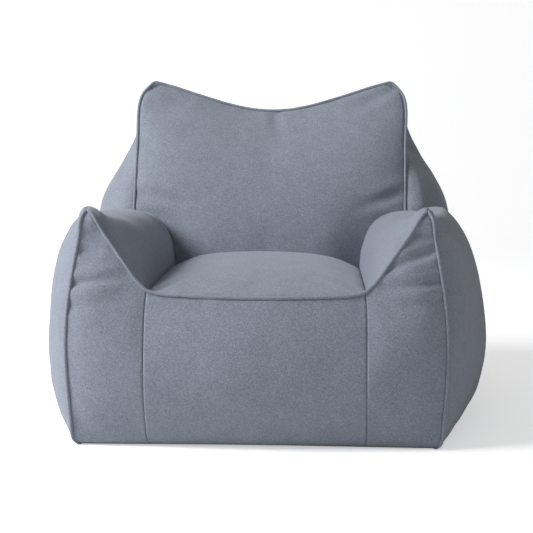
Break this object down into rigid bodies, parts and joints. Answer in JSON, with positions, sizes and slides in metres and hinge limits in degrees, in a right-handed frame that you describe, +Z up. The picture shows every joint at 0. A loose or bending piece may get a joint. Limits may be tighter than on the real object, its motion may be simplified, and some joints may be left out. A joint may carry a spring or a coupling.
{
  "type": "bean bag chair",
  "caption": "Shaped bean bag armchair with pointed arms, a crowned seat, a leaning backrest with a dipped top edge, piped seams and a rear zip.",
  "frame": {"origin": "on the floor under the middle of the chair's bounding box", "axes": "+Z up, the sitter faces -Y, +X is on the right of somebody looking at the front"},
  "size_m": [1.0014, 0.9462, 0.7324],
  "materials": {
    "cover_fabric": "matte",
    "zip_tape": "matte",
    "zip_teeth": "satin",
    "zip_metal": "satin",
    "liner_cloth": "matte",
    "bead_fill": "matte",
    "label_cloth": "satin"
  },
  "bodies": {
    "chair": {"front_center_panel": "cover_fabric", "front_left_panel": "cover_fabric", "front_right_panel": "cover_fabric", "seat_panel": "cover_fabric", "arm_left_panel": "cover_fabric", "arm_right_panel": "cover_fabric", "backrest_panel": "cover_fabric", "side_left_panel": "cover_fabric", "side_right_panel": "cover_fabric", "rear_upper_panel": "cover_fabric", "rear_lower_panel": "cover_fabric", "base_panel": "cover_fabric", "front_edge_piping": "cover_fabric", "left_front_piping": "cover_fabric", "right_front_piping": "cover_fabric", "backrest_piping": "cover_fabric", "zip_tape_upper": "zip_tape", "zip_tape_lower": "zip_tape", "zip_teeth_upper": "zip_teeth", "zip_teeth_lower": "zip_teeth", "zip_left_stop": "zip_metal", "zip_right_stop": "zip_metal", "inner_liner": "liner_cloth", "liner_closure": "liner_cloth", "back_partition": "liner_cloth", "left_arm_partition": "liner_cloth", "right_arm_partition": "liner_cloth", "seat_bead_fill": "bead_fill", "back_bead_fill": "bead_fill", "left_arm_bead_fill": "bead_fill", "right_arm_bead_fill": "bead_fill", "care_label": "label_cloth"},
    "slider": {"zip_slider": "zip_metal"},
    "pull": {"zip_pull_tab": "zip_metal"}
  },
  "joints": [
    {"name": "zip_slide", "type": "slide", "parent": "chair", "child": "slider", "axis": [-1, 0, 0], "range_m": [0, 0.587]},
    {"name": "pull_tab_hinge", "type": "hinge", "parent": "slider", "child": "pull", "pos_m": [0.2935, 0.43743, 0.11], "axis": [0, 0, -1], "range_deg": [0, 165]}
  ]
}
